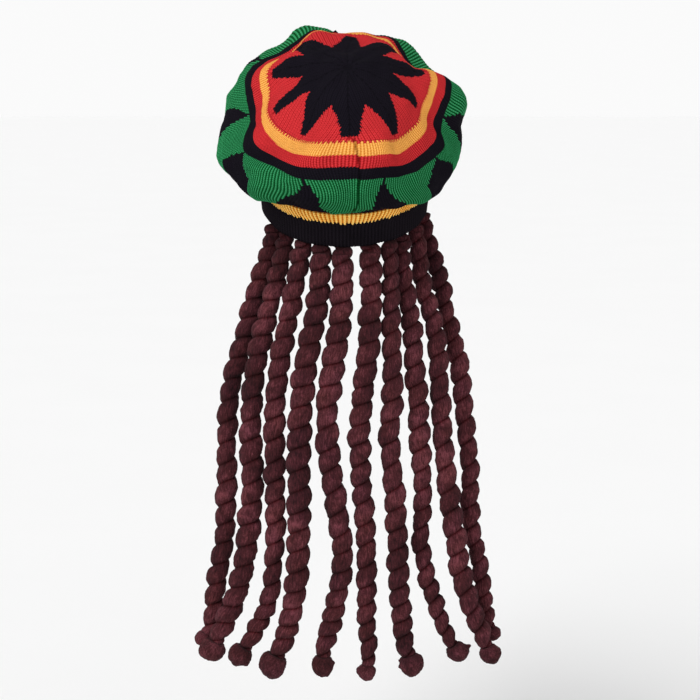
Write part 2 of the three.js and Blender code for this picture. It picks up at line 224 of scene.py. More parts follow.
def crown_at(az, s, fine=True):
    az, s = np.broadcast_arrays(np.asarray(az, float), np.asarray(s, float))
    turn = turn_pol(az)
    up = puff(az, turn * np.minimum(s, 1), fine)
    t = np.clip(s - 1, 0, 1)[..., None]
    start, before = puff(az, turn, fine), puff(az, turn - 2, fine)
    end = on_band(az, 0.6 - (BAND_FLARE if fine else 0), BAND_HEIGHT + 0.5)
    span = np.linalg.norm(end - start, axis=-1, keepdims=True)
    leave = unit(start - before) * span
    inward = unit(on_band(az, 10.0, BAND_HEIGHT) - on_band(az, 0.0, BAND_HEIGHT))
    tuck = (TUCK_SIDE + TUCK_SWING * np.cos(np.radians(az)))[..., None]
    reach = unit(inward * tuck + BAND_DOWN * 0.7) * span
    low = start * (2 * t**3 - 3 * t**2 + 1) + leave * (t**3 - 2 * t**2 + t) + end * (-2 * t**3 + 3 * t**2) + reach * (t**3 - t**2)
    return np.where((s <= 1)[..., None], up, low)


# How far along each meridian of the plain form a length from the star's centre comes.
_az = np.arange(-180, 181, 2.0)
_s = np.linspace(0, 2, 401)
_p = crown_at(_az[:, None], _s[None, :], fine=False)
_len = np.concatenate([np.zeros((len(_az), 1)), np.cumsum(np.linalg.norm(np.diff(_p, axis=1), axis=2), axis=1)], 1)
MERIDIAN = _len[:, -1]
S_OF = np.stack([np.interp(np.linspace(0, 1, 261) * MERIDIAN[i], _len[i], _s) for i in range(len(_az))])


def s_of(az, length):
    az = (az + 180) % 360 - 180
    i = np.clip((az + 180) / 2, 0, len(_az) - 1.001)
    i0 = i.astype(int)
    fi = i - i0
    total = MERIDIAN[i0] * (1 - fi) + MERIDIAN[i0 + 1] * fi
    g = np.clip(length / total, 0, 1) * 260
    j0 = np.clip(g.astype(int), 0, 259)
    fj = g - j0
    a = S_OF[i0, j0] * (1 - fj) + S_OF[i0, j0 + 1] * fj
    b = S_OF[i0 + 1, j0] * (1 - fj) + S_OF[i0 + 1, j0 + 1] * fj
    return a * (1 - fi) + b * fi, total


def knit_at(u, v):
    """The place of the knit that is u degrees round the pattern and v mm from its centre."""
    u, v = np.broadcast_arrays(np.asarray(u, float), np.asarray(v, float))
    d = toward(u, v * 180.0 / 260.0)
    k = np.exp(-((np.degrees(np.arccos(np.clip(d @ SLACK_AT.T, -1, 1))) / SLACK_SPREAD) ** 2))
    edge = 1 - smooth(176, PATTERN_END, v)          # the lower edge stays on the band
    centre = smooth(0, 30, v)
    az = u + (k @ SLACK[:, 2]) * centre
    vv = v + (k @ SLACK[:, 3]) * edge * centre
    _, total = s_of(az, vv)
    t = np.clip((vv - STRETCH_FROM) / (PATTERN_END - STRETCH_FROM), 0, 1.2)
    length = vv + (total - PATTERN_END) * t**1.3
    s, _ = s_of(az, length)
    s = np.where(v >= PATTERN_END - 1e-6, 2.0, s)
    return crown_at(az, s)


def join(faces, ids_a, u_a, ids_b, u_b):
    """Triangles between two closed rings that both start at u = -180."""
    na, nb = len(ids_a), len(ids_b)
    ua = np.append(u_a, u_a[0] + 360.0)
    ub = np.append(u_b, u_b[0] + 360.0)
    i = j = 0
    while i < na or j < nb:
        if j >= nb or (i < na and ua[i + 1] <= ub[j + 1] + 1e-9):
            faces.append((ids_a[i], ids_b[j % nb], ids_a[(i + 1) % na]))
            i += 1
        else:
            faces.append((ids_a[i % na], ids_b[j], ids_b[(j + 1) % nb]))
            j += 1


def normals_of(pts, faces):
    n = np.zeros_like(pts)
    a, b, c = pts[faces[:, 0]], pts[faces[:, 1]], pts[faces[:, 2]]
    f = np.cross(b - a, c - a)
    for k in range(3):
        np.add.at(n, faces[:, k], f)
    return unit(n)


def make_object(name, pts_mm, faces, mats, mat_index=None, point_attrs=None, uv=None):
    mesh = bpy.data.meshes.new(name)
    pts = np.asarray(pts_mm, float) * 0.001
    faces = np.asarray(faces, np.int32)
    mesh.vertices.add(len(pts))
    mesh.vertices.foreach_set("co", pts.ravel())
    n = len(faces)
    mesh.loops.add(n * 3)
    mesh.loops.foreach_set("vertex_index", faces.ravel())
    mesh.polygons.add(n)
    mesh.polygons.foreach_set("loop_start", np.arange(0, n * 3, 3, dtype=np.int32))
    mesh.polygons.foreach_set("loop_total", np.full(n, 3, np.int32))
    if mat_index is not None:
        mesh.polygons.foreach_set("material_index", np.asarray(mat_index, np.int32))
    mesh.update(calc_edges=True)
    mesh.polygons.foreach_set("use_smooth", np.ones(n, bool))
    for key, val in (point_attrs or {}).items():
        a = mesh.attributes.new(key, "FLOAT", "POINT")
        a.data.foreach_set("value", np.asarray(val, np.float32))
    if uv is not None:
        layer = mesh.uv_layers.new(name="uv")
        layer.data.foreach_set("uv", np.asarray(uv, np.float32)[faces.ravel()].ravel())
    mesh.validate()
    obj = bpy.data.objects.new(name, mesh)
    for m in mats:
        mesh.materials.append(m)
    scene.collection.objects.link(obj)
    return obj


WORLD_LIGHT, CEILING = 0.96, 0.54
LIGHTS = (
    ('key', (-1.2, -1.6, 1.9), 35.0, 2.0),
    ('fill', (1.4, -1.8, 0.5), 60.0, 0.28),
)


# ------------------------------------------------------------------ materials
def srgb(r, g, b):
    def one(c):
        c = c / 255.0
        return c / 12.92 if c <= 0.04045 else ((c + 0.055) / 1.055) ** 2.4
    return (one(r), one(g), one(b), 1.0)


class Nodes:
    """Short hand for building a node tree."""

    def __init__(self, name):
        self.mat = bpy.data.materials.new(name)
        self.mat.use_nodes = True
        self.t = self.mat.node_tree
        self.bsdf = self.t.nodes["Principled BSDF"]

    def new(self, kind, **props):
        n = self.t.nodes.new(kind)
        for k, v in props.items():
            setattr(n, k, v)
        return n

    def link(self, a, b):
        self.t.links.new(a, b)

    def math(self, op, a, b=None, c=None):
        n = self.new("ShaderNodeMath", operation=op)
        for i, v in enumerate((a, b, c)):
            if v is None:
                continue
            if isinstance(v, (int, float)):
                n.inputs[i].default_value = v
            else:
                self.link(v, n.inputs[i])
        return n.outputs[0]

    def mix(self, fac, a, b, blend="MIX"):
        n = self.new("ShaderNodeMix", data_type="RGBA", blend_type=blend)
        for sock, v in ((n.inputs["Factor"], fac), (n.inputs["A"], a), (n.inputs["B"], b)):
            if isinstance(v, (int, float, tuple)):
                sock.default_value = v
            else:
                self.link(v, sock)
        return n.outputs["Result"]

    def attr(self, name):
        return self.new("ShaderNodeAttribute", attribute_name=name).outputs["Fac"]

    def noise(self, scale, detail=3.0, rough=0.55, coord=None, dist=0.0):
        n = self.new("ShaderNodeTexNoise")
        n.inputs["Scale"].default_value = scale
        n.inputs["Detail"].default_value = detail
        n.inputs["Roughness"].default_value = rough
        n.inputs["Distortion"].default_value = dist
        self.link(coord if coord is not None else self.coord(), n.inputs["Vector"])
        return n.outputs["Fac"]

    def coord(self):
        if not hasattr(self, "_c"):
            self._c = self.new("ShaderNodeTexCoord").outputs["Object"]
        return self._c

    def ramp(self, fac, stops):
        n = self.new("ShaderNodeValToRGB")
        e = n.color_ramp.elements
        while len(e) < len(stops):
            e.new(0.5)
        for el, (p, c) in zip(e, stops):
            el.position = p
            el.color = c
        self.link(fac, n.inputs["Fac"])
        return n.outputs["Color"]

    def bump(self, height, distance, strength=1.0, under=None):
        n = self.new("ShaderNodeBump")
        n.inputs["Distance"].default_value = distance
        n.inputs["Strength"].default_value = strength
        self.link(height, n.inputs["Height"])
        if under is not None:
            self.link(under, n.inputs["Normal"])
        return n.outputs["Normal"]


def knit_material(name, groove, body, ridge, rough=0.95, sheen=0.0, fuzz=0.5, stitch=0.35, patch=0.10):
    """Knitted yarn: grooves between the wales darkened as painted shade, fuzzy ridges lightened as painted light,
    single stitches with painted shade between them, and fibres.
    """
    n = Nodes(name)
    r = n.attr("ridge")
    uv = n.new("ShaderNodeUVMap", uv_map="uv").outputs["UV"]
    sep = n.new("ShaderNodeSeparateXYZ")
    n.link(uv, sep.inputs[0])
    lean = n.math("PINGPONG", sep.outputs[0], 1.0)
    row = n.math("SINE", n.math("MULTIPLY", n.math("ADD", sep.outputs[1], n.math("MULTIPLY", lean, 0.5)), 2 * math.pi))
    fibre = n.noise(1500.0, 3.0, 0.6)
    blotch = n.noise(160.0, 3.0, 0.6)
    wide = n.noise(28.0, 2.0, 0.5)
    # painted shade and light: the ridge attribute, fibres and stitch rows pick the colour, darkest (painted shade) in
    # the grooves and between stitch rows, lightest (painted light) on the ridges
    f = n.math("ADD", r, n.math("MULTIPLY", n.math("SUBTRACT", fibre, 0.5), fuzz))
    f = n.math("ADD", f, n.math("MULTIPLY", row, stitch * 0.35))
    col = n.ramp(f, [(0.05, groove), (0.5, body), (0.95, ridge)])
    # random tone in patches, then painted shade along the seam's crease
    tone_and_seam_shade = n.math("ADD", n.math("MULTIPLY", n.math("SUBTRACT", blotch, 0.5), patch * 2), 1.0)
    tone_and_seam_shade = n.math("ADD", tone_and_seam_shade, n.math("MULTIPLY", n.math("SUBTRACT", wide, 0.5), patch * 2))
    # painted shade: the knit darkens along the seam's crease
    tone_and_seam_shade = n.math("MULTIPLY", tone_and_seam_shade, n.math("SUBTRACT", 1.0, n.math("MULTIPLY", n.attr("seam_crease_shade"), 0.62)))
    hsv = n.new("ShaderNodeHueSaturation")
    n.link(col, hsv.inputs["Color"])
    n.link(tone_and_seam_shade, hsv.inputs["Value"])
    n.link(hsv.outputs["Color"], n.bsdf.inputs["Base Color"])
    n.bsdf.inputs["Roughness"].default_value = rough
    n.bsdf.inputs["Sheen Weight"].default_value = sheen
    n.bsdf.inputs["Sheen Roughness"].default_value = 0.6
    n.bsdf.inputs["Specular IOR Level"].default_value = 0.04
    first = n.bump(row, 0.00035 * stitch * 2, 0.6)
    n.link(n.bump(fibre, 0.0003, 0.5, first), n.bsdf.inputs["Normal"])
    return n.mat


# colours in order: groove (painted shade), body, ridge (painted light)
CROWN_MATS = [
    knit_material("black_knit", srgb(14, 12, 18), srgb(18, 15, 22), srgb(22, 19, 27), fuzz=0.6),
    knit_material("red_knit", srgb(142, 18, 22), srgb(182, 38, 42), srgb(210, 56, 60), fuzz=0.8),
    knit_material("gold_knit", srgb(194, 116, 40), srgb(227, 155, 71), srgb(246, 182, 98), fuzz=0.7),
    knit_material("green_knit", srgb(1, 50, 17), srgb(15, 101, 50), srgb(62, 152, 102), fuzz=0.5),
    knit_material("maroon_knit", srgb(56, 10, 14), srgb(92, 20, 24), srgb(116, 30, 34), fuzz=0.6),
]
BLACK, RED, GOLD, GREEN, MAROON = range(5)


def lock_material(name, tone):
    """Padded brown knit: the twist's grooves darkened as painted shade, matt mottled cushions with faint lengthwise
    creases.
    """
    n = Nodes(name)
    deep = n.attr("ridge")
    uv = n.new("ShaderNodeUVMap", uv_map="uv").outputs["UV"]
    stretch = n.new("ShaderNodeMapping")
    n.link(uv, stretch.inputs["Vector"])
    stretch.inputs["Scale"].default_value = (46.0, 3.2, 1.0)
    crease = n.noise(1.0, 2.5, 0.6, coord=stretch.outputs["Vector"], dist=0.5)
    fibre = n.noise(1100.0, 3.0, 0.65)
    blotch = n.noise(120.0, 4.0, 0.6)
    wide = n.noise(22.0, 2.0, 0.5)
    f = n.math("ADD", n.math("MULTIPLY", n.math("SUBTRACT", blotch, 0.5), 0.9), n.math("MULTIPLY", n.math("SUBTRACT", fibre, 0.5), 0.9))
    f = n.math("ADD", f, n.math("MULTIPLY", n.math("SUBTRACT", crease, 0.5), 1.3))
    f = n.math("ADD", f, n.math("MULTIPLY", n.math("SUBTRACT", wide, 0.5), 1.2))
    f = n.math("ADD", f, 0.5)
    dark = srgb(32 * tone, 13 * tone, 17 * tone)
    mid = srgb(64 * tone, 28 * tone, 34 * tone)
    light = srgb(110 * tone, 57 * tone, 67 * tone)
    col = n.ramp(f, [(0.0, dark), (0.5, mid), (1.0, light)])
    # painted shade: the colour darkens towards the grooves of the twist, and on the knots in their grooves and gathered
    # tops
    seam_crease_shade = n.ramp(deep, [(0.0, srgb(122, 50, 58)), (0.12, srgb(190, 134, 140)), (0.34, srgb(232, 218, 220)), (0.8, srgb(255, 255, 255))])
    warm = n.noise(42.0, 2.0, 0.5)
    warm = n.math("MULTIPLY", n.math("SUBTRACT", warm, 0.5), 1.6)
    warm = n.math("MINIMUM", n.math("MAXIMUM", n.math("ADD", warm, 0.35), 0.0), 1.0)
    col = n.mix(warm, col, n.mix(1.0, col, srgb(255, 252, 224), "MULTIPLY"))
    col = n.mix(1.0, col, seam_crease_shade, "MULTIPLY")
    n.link(col, n.bsdf.inputs["Base Color"])
    n.bsdf.inputs["Roughness"].default_value = 0.95
    n.bsdf.inputs["Sheen Weight"].default_value = 0.02
    n.bsdf.inputs["Sheen Roughness"].default_value = 0.7
    n.bsdf.inputs["Specular IOR Level"].default_value = 0.05
    first = n.bump(crease, 0.0011, 0.8)
    second = n.bump(blotch, 0.0012, 0.6, first)
    n.link(n.bump(fibre, 0.0004, 0.6, second), n.bsdf.inputs["Normal"])
    return n.mat


LOCK_MAT = lock_material("lock_knit", 1.0)
KNOT_MAT = lock_material("knot_knit", 0.93)


# ------------------------------------------------------------------ crown
def seam_u(v):
    """The seam at the back, in degrees round the pattern."""
    return np.interp(v, [a for a, _ in SEAM], [b for _, b in SEAM])


def crown_object():
    pts_u, pts_v, pts_ridge, pts_depth, pts_leg = [], [], [], [], []
    rings = []
    count = 0

    def add_ring(u, v, ridge, depth, leg):
        nonlocal count
        ids = np.arange(count, count + len(u))
        count += len(u)
        pts_u.append(u)
        pts_v.append(np.full(len(u), v))
        pts_ridge.append(ridge)
        pts_depth.append(depth)
        pts_leg.append(leg)
        rings.append((ids, u))
        return ids

    # the star: wales stand side by side in each tenth and end at the tenth's edges
    star_rows = 80
    half = 2 * STAR_WALES
    for r in range(1, star_rows + 1):
        v = STAR_END * r / star_rows
        mf = half * v / STAR_END
        m = max(1, int(round(mf)))
        us, ridge, leg = [], [], []
        for k in range(REPEATS):
            mid = 36.0 * k - 180.0 + 18.0
            for c in range(-m, m):
                us.append(mid + (18.0 * c / mf if abs(c) < m else -18.0))
                q = c % 4
                # ridge: 1 on a wale's ridge, 0 in a groove; it sets the knit's height and picks its colour, painted
                # shade in the grooves and painted light on the ridges; the tenth's edge is painted as a groove
                ridge.append({0: 0.30, 1: 1.0, 2: 0.0, 3: 1.0}[q] if c > -m else 0.1)
                leg.append(c / 2.0 + 0.5)
        us = np.array(us)
        add_ring(us, v, np.array(ridge), np.full(len(us), 0.15 * smooth(2, 30, v)), np.array(leg))
    # below it every wale runs down to the band
    side_rows = 104
    n_side = REPEATS * SIDE_WALES * 2
    for r in range(1, side_rows + 1):
        v = STAR_END + (PATTERN_END - STAR_END) * r / side_rows
        us = -180.0 + 360.0 * np.arange(n_side) / n_side
        # the same ridge and groove, for the height and for the painted shade and light
        ridge = np.where(np.arange(n_side) % 2 == 0, 1.0, 0.0)
        deep = (0.16 + 0.26 * smooth(110, 126, v)) * (1 - 0.45 * smooth(85, 125, np.abs(us)))
        add_ring(us, v, ridge, deep, np.arange(n_side) / 2.0)
    u = np.concatenate(pts_u)
    v = np.concatenate(pts_v)
    ridge = np.concatenate(pts_ridge)
    depth = np.concatenate(pts_depth)
    leg = np.concatenate(pts_leg)

    faces = []
    centre = len(u)
    ids0 = rings[0][0]
    for i in range(len(ids0)):
        faces.append((centre, ids0[i], ids0[(i + 1) % len(ids0)]))
    for (a, ua), (b, ub) in zip(rings[:-1], rings[1:]):
        join(faces, list(a), ua, list(b), ub)
    faces = np.array(faces, int)[:, ::1]
    n_outer = len(faces)
    pts = knit_at(u, v)
    pts = np.vstack([pts, crown_at(0.0, 0.0)[None, :] - np.array([0, 0, 0.6])])
    u = np.append(u, 0.0)
    v = np.append(v, 0.0)
    ridge = np.append(ridge, 0.5)
    depth = np.append(depth, 0.0)
    leg = np.append(leg, 0.0)

    nrm = normals_of(pts, faces)
    out = crown_at(np.array([0.0]), np.array([0.3]))[0] - CROWN_CENTRE
    k = int(np.argmin(np.linalg.norm(pts - crown_at(0.0, 0.3), axis=1)))
    if nrm[k] @ out < 0:
        faces = faces[:, ::-1]
        nrm = -nrm

    # small softness of the knit, gathers at the star's centre, the seam
    soft = Ripple(3, 26.0)(pts) * 0.55 + Ripple(4, 11.0)(pts) * 0.18
    edge = 1 - smooth(178, PATTERN_END, v)
    gather = np.cos(np.radians(u) * 7 + 1.2 * np.sin(np.radians(u) * 2)) * 0.9 * np.exp(-(((v - 24) / 15.0) ** 2))
    dimple = -2.0 * np.exp(-((v / 9.0) ** 2))
    off = np.abs((u - seam_u(v) + 180) % 360 - 180)
    seam_crease_shade = np.exp(-((off / 0.42) ** 2)) * smooth(80, 88, v)
    lift = soft * edge + gather + dimple + (ridge - 0.5) * 2 * depth - 0.5 * seam_crease_shade
    pts = pts + nrm * lift[:, None]
    # painted shade: along the seam's crease the stitches take the darker groove colour
    ridge = np.clip(ridge - 0.8 * seam_crease_shade, 0, 1)

    # colours, stitch by stitch
    fu = u[faces]
    fu = np.where(fu - fu[:, :1] > 180, fu - 360, fu)
    fu = np.where(fu - fu[:, :1] < -180, fu + 360, fu)
    fu = (fu.mean(1) + 180) % 360 - 180
    fv = v[faces].mean(1)
    jog = np.where(fu > seam_u(fv), 0.9, -0.6) * np.exp(-((fu / 16.0) ** 2))
    tenth = np.floor((fu + 180) / 36.0)
    mid = tenth * 36.0 - 180.0 + 18.0
    # the star's triangles step by half a wale
    halves = (fu - mid) / 18.0 * STAR_WALES * np.minimum(fv, STAR_END) / STAR_END
    col = np.floor(halves + 0.5)
    vs = fv + 1.3 * (0.5 - np.abs(halves - col) * 2)
    mat = np.full(len(faces), BLACK)
    n_in = np.abs(col) / 2.0
    wob = np.sin(col * 12.9898 + tenth * 78.233) * 43758.5453
    wob = (wob - np.floor(wob)) - 0.5
    start = np.where(n_in <= 5.25, RED_TIP + RED_STEP * n_in + 2.0 * wob, RAY_END)
    mat[vs >= start] = RED
    # below it the side wales, whose stitches end in a point towards the centre
    swale = fu / 360.0 * REPEATS * SIDE_WALES
    scol = np.floor(swale + 0.5)
    sin_ = np.abs(swale - scol) * 2
    ring = fv + 1.2 * (0.5 - sin_) - jog
    slope = 1.4 * smooth(30, 70, np.abs(fu))
    mat[ring >= GOLD_FROM + slope + np.where(np.mod(scol, 2) == 0, 0.0, 1.7)] = GOLD
    mat[ring >= GOLD_TO - 0.5 * slope] = RED
    mat[fv + 0.5 * (0.5 - sin_) - jog >= RED_TO] = BLACK
    # the trapezoids
    svs = fv + 1.1 * (0.5 - sin_) - 0.4 * jog
    rep = np.round(fu / 36.0)
    i = np.abs(scol - rep * SIDE_WALES)
    swob = np.sin(scol * 91.17 + 4.1) * 15731.743
    swob = (swob - np.floor(swob)) - 0.5
    # on the sides the folds show more of the black between two trapezoids
    wedge = np.abs(36.0 * np.floor(fu / 36.0) + 18.0)
    step = np.interp(wedge, [18, 54, 90, 126], [GREEN_STEP, 2.6, 3.6, 5.0])
    keep = np.minimum(np.floor((svs - BLACK_TO + 2.5 * swob) / step), np.interp(wedge, [18, 54, 90], [14, 9, 12]))
    green = (svs >= BLACK_TO) & (i <= GREEN_HALF_TOP - 0.5 - np.maximum(keep, 0))
    mat[green] = GREEN
    mat[(fv > PATTERN_END - 1.6) & (mat == BLACK)] = MAROON

    # plain inside, closed round the lower edge
    n_in_cols, n_in_rows = 120, 26
    iu = -180.0 + 360.0 * np.arange(n_in_cols) / n_in_cols
    base = len(pts)
    in_pts, in_rings = [], []
    for r in range(1, n_in_rows + 1):
        iv = PATTERN_END * r / n_in_rows
        p = knit_at(iu, np.full(n_in_cols, iv))
        du = knit_at(iu + 0.8, np.full(n_in_cols, iv)) - knit_at(iu - 0.8, np.full(n_in_cols, iv))
        dv = knit_at(iu, np.full(n_in_cols, min(iv + 1.0, PATTERN_END - 0.01))) - knit_at(iu, np.full(n_in_cols, iv - 1.0))
        nn = unit(np.cross(dv, du))
        if nn[60] @ (p[60] - CROWN_CENTRE) < 0:
            nn = -nn
        q = p - nn * CROWN_WALL
        if r == n_in_rows:
            q = on_band(iu, 0.6 + CROWN_WALL - BAND_FLARE, BAND_HEIGHT + 0.5)
        ids = base + np.arange(len(in_pts) * 0 + n_in_cols) + (r - 1) * n_in_cols
        in_pts.append(q)
        in_rings.append((ids, iu))
    inner_centre = base + n_in_cols * n_in_rows
    in_faces = []
    first = in_rings[0][0]
    for a in range(n_in_cols):
        in_faces.append((inner_centre, first[a], first[(a + 1) % n_in_cols]))
    for (a, ua), (b, ub) in zip(in_rings[:-1], in_rings[1:]):
        join(in_faces, list(a), ua, list(b), ub)
    in_faces = np.array(in_faces, int)
    centre_in = crown_at(0.0, 0.0) + unit(CROWN_CENTRE - crown_at(0.0, 0.0)) * CROWN_WALL
    all_pts = np.vstack([pts] + in_pts + [centre_in[None, :]])
    inn = normals_of(all_pts, in_faces)
    t = in_rings[8][0][60]
    if inn[t] @ (all_pts[t] - CROWN_CENTRE) > 0:
        in_faces = in_faces[:, ::-1]
    rim = []
    a, ua = rings[-1]
    b, ub = in_rings[-1]
    join(rim, list(a), ua, list(b), ub)
    rim = np.array(rim, int)
    rn = normals_of(all_pts, rim)[a[0]]
    if rn @ BAND_DOWN < 0:
        rim = rim[:, ::-1]
    n_extra = len(all_pts) - len(pts)
    all_faces = np.vstack([faces, in_faces, rim])
    mats = np.concatenate([mat, np.full(len(in_faces) + len(rim), BLACK)])
    uv = np.stack([np.concatenate([leg, np.zeros(n_extra)]), np.concatenate([v / 2.2, np.zeros(n_extra)])], 1)
    obj = make_object("crown_knit", all_pts, all_faces, CROWN_MATS, mats,
                      {"ridge": np.concatenate([ridge, np.full(n_extra, 0.5)]), "seam_crease_shade": np.concatenate([seam_crease_shade, np.zeros(n_extra)])}, uv)
    print("crown triangles", len(all_faces))
    return obj


# ------------------------------------------------------------------ head band
RIBS = 150
GOLD_RIB_FROM = 26.2


def band_object():
    n_out, n_in = RIBS * 4, 150
    ribs_u = -180.0 + 360.0 * np.arange(n_out) / n_out
    in_u = -180.0 + 360.0 * np.arange(n_in) / n_in
    phase = np.arange(n_out) % 4
    # ridge sets the rib's height and its colour: painted shade in the grooves, painted light on the ridges
    ridge = np.array([1.0, 0.55, 0.0, 0.55])[phase]

    def fan(u, h):
        """The ribs lean outwards at the back, where the crown pulls them."""
        t = smooth(20.0, BAND_HEIGHT, h)
        return u * (1 + 0.22 * t * np.exp(-((u / 70.0) ** 2)))

    def flare(h):
        return BAND_FLARE * smooth(16.0, BAND_HEIGHT, h)

    rings, pts, rid, uvs = [], [], [], []
    count = 0

    def add(u, h, out, rdg, amp, row):
        nonlocal count
        az = fan(u, h)
        h = h + 0 * az
        lift = out + flare(h) + (rdg - 0.5) * amp
        p = on_band(az, BAND_WALL - lift, h)
        ids = np.arange(count, count + len(u))
        count += len(u)
        rings.append((ids, u))
        pts.append(p)
        rid.append(rdg + 0 * u)
        uvs.append(np.stack([np.arange(len(u)) * (RIBS * 2.0 / len(u)), np.full(len(u), row)], 1))

    heights = list(np.linspace(0.6, 22.0, 12)) + list(np.linspace(23.0, 29.0, 11)) + list(np.linspace(30.5, 35.9, 5))
    add(in_u, 0.6, 0.3, np.full(n_in, 0.5), 0, 0)
    add(in_u, 0.0, 1.2, np.full(n_in, 0.4), 0, 0)
    add(ribs_u, 0.0, 3.0, ridge, 0.8, 0)
    for h in heights:
        swell = BAND_BULGE * math.sin(math.pi * h / BAND_HEIGHT)
        add(ribs_u, h, BAND_WALL + swell - (0.35 if h < 1 else 0), ridge, 1.15, h / 2.2)
    add(ribs_u, 36.4, BAND_WALL - 0.9, ridge, 0.6, 16.5)
    # a low lip inside keeps the join with the crown closed
    add(in_u, 36.4, 0.3, np.full(n_in, 0.4), 0, 0)
    add(in_u, 38.3, 0.0, np.full(n_in, 0.4), 0, 0)
    add(in_u, 38.3, -0.7, np.full(n_in, 0.4), 0, 0)
    add(in_u, 35.6, -0.4, np.full(n_in, 0.5), 0, 0)
    for h in (30.0, 22.0, 12.0, 4.0):
        add(in_u, h, 0.0, np.full(n_in, 0.5), 0, 0)
    faces = []
    for a, b in zip(range(len(rings)), list(range(1, len(rings))) + [0]):
        join(faces, list(rings[a][0]), rings[a][1], list(rings[b][0]), rings[b][1])
    faces = np.array(faces, int)
    pts = np.vstack(pts)
    rid = np.concatenate(rid)
    nrm = normals_of(pts, faces)
    t = rings[10][0][n_out // 2]
    if nrm[t] @ unit(on_band(ribs_u[n_out // 2], 0.0, 0.0)) < 0:
        faces = faces[:, ::-1]
        nrm = -nrm
    pts = pts + nrm * (Ripple(8, 30.0)(pts) * 0.3)[:, None]
    uv = np.vstack(uvs)

    # the gold stripe, ending rib by rib at its own height
    c = pts[faces].mean(1)
    cb = c @ BAND            # back into the band's own frame
    h = cb[:, 2]
    az = np.degrees(np.arctan2(cb[:, 0] / BAND_HALF_WIDTH, -cb[:, 1] / BAND_HALF_LENGTH))
    t = smooth(20.0, BAND_HEIGHT, h)
    u0 = az / (1 + 0.22 * t * np.exp(-((az / 70.0) ** 2)))
    rib = u0 / 360.0 * RIBS
    k = np.floor(rib + 0.5)
    across = np.abs(rib - k) * 2
    r1 = np.sin(k * 12.9898) * 43758.5453
    r1 = r1 - np.floor(r1)
    outward = (nrm[faces].mean(1) * unit(np.stack([c[:, 0], c[:, 1], 0 * c[:, 0]], 1))).sum(1) > 0.0
    mat = np.full(len(faces), BLACK)
    lim = GOLD_RIB_FROM - 1.0 + 1.8 * r1 + 2.6 * across**2
    mat[outward & (h > lim)] = GOLD
    obj = make_object("band_rib", pts, faces, BAND_MATS, mat, {"ridge": rid}, uv)
    print("band triangles", len(faces))
    return obj


# colours in order: groove (painted shade), body, ridge (painted light)
BAND_MATS = [
    knit_material("black_rib", srgb(16, 13, 17), srgb(21, 17, 22), srgb(25, 21, 26), fuzz=0.5),
    knit_material("red_rib", srgb(60, 12, 14), srgb(90, 18, 22), srgb(110, 30, 34)),
    # painted light: the rib's gold is brighter than the crown's gold, as if lit, though the rib sits in the crown's
    # shade
    knit_material("gold_rib_painted_light", srgb(168, 90, 18), srgb(252, 168, 60), srgb(255, 218, 124), fuzz=0.4),
]

# ------------------------------------------------------------------ locks
DROPS = (20, 60, 105, 150, 200, 250, 300, 350)
# no: root az, then the centre line's x and y at those drops, its end, the knot's size and place
LOCKS = {
    1: (-60.7, (-72, -86, -98, -110, -116, -117, -119, -126), (-44, -45, -48, -52, -57, -62, -66, -69), (-135, -70, -416), 16, (-140.9, -70, -426)),
    2: (-46.7, (-60, -70, -82, -90, -92, -91, -96, -105), (-61, -63, -66, -70, -75, -80, -84, -87), (-122, -88, -411), 24, (-130.8, -88, -432.3)),
    3: (-31.0, (-43, -52, -61, -67, -69, -68, -69, -74), (-76, -77, -79, -81, -84, -87, -90, -91), (-93, -92, -422), 23, (-102.9, -92, -436.3)),
    4: (-16.4, (-24, -27, -36, -42, -45, -45, -45, -50), (-85, -86, -89, -91, -95, -99, -102, -103), (-62, -104, -424), 26, (-70.5, -104, -442.3)),
    5: (-1.6, (-2, -4, -10, -17, -16, -8, -2, -9), (-89, -90, -92, -94, -98, -101, -104, -106), (-20, -106, -422), 22, (-21.7, -106, -442.2)),
    6: (18.0, (25, 25, 22, 17, 14, 18, 21, 21), (-84, -85, -87, -90, -93, -95, -98, -100), (23, -100, -435), 18, (21.2, -100, -451.2)),
    7: (32.0, (44, 45, 46, 46, 44, 49, 51, 54), (-75, -77, -80, -84, -89, -94, -98, -101), (59, -102, -423), 24, (65.2, -102, -442.4)),
    8: (45.1, (56, 61, 67, 70, 73, 77, 75, 85), (-63, -64, -66, -70, -74, -78, -81, -83), (103, -84, -422), 21, (111.6, -84, -435.5)),
    9: (61.0, (72, 77, 89, 93, 96, 101, 108, 117), (-43, -46, -51, -58, -67, -76, -84, -89), (135, -90, -416), 21, (143.3, -90, -435.7)),
    10: (78.5, (81, 93, 103, 114, 119, 124, 125, 134), (-18, -21, -26, -33, -42, -51, -59, -64), (142, -66, -411), 15, (147.5, -66, -422)),
}
# Visible width of each lock: (share of the way down, mm)
WIDTHS = {
    1: ((0, 16.0), (0.3, 18.0), (0.8, 18.5), (1, 15.5)),
    2: ((0, 15.5), (0.3, 19.0), (0.6, 20.5), (0.9, 19.5), (1, 16.0)),
    3: ((0, 17.0), (0.3, 19.5), (0.55, 18.5), (0.85, 16.5), (1, 15.0)),
    4: ((0, 17.5), (0.3, 21.5), (0.6, 21.0), (0.9, 19.5), (1, 17.0)),
    5: ((0, 18.5), (0.3, 20.5), (0.7, 20.5), (0.9, 18.5), (1, 16.0)),
    6: ((0, 19.0), (0.3, 20.5), (0.55, 18.0), (0.8, 18.0), (1, 13.5)),
    7: ((0, 13.5), (0.3, 17.5), (0.5, 19.5), (0.9, 18.5), (1, 16.5)),
    8: ((0, 13.5), (0.35, 18.5), (0.7, 16.5), (1, 13.0)),
    9: ((0, 14.5), (0.3, 17.5), (0.7, 19.0), (0.9, 18.0), (1, 15.0)),
    10: ((0, 14.5), (0.4, 17.5), (0.7, 16.5), (1, 14.0)),
}
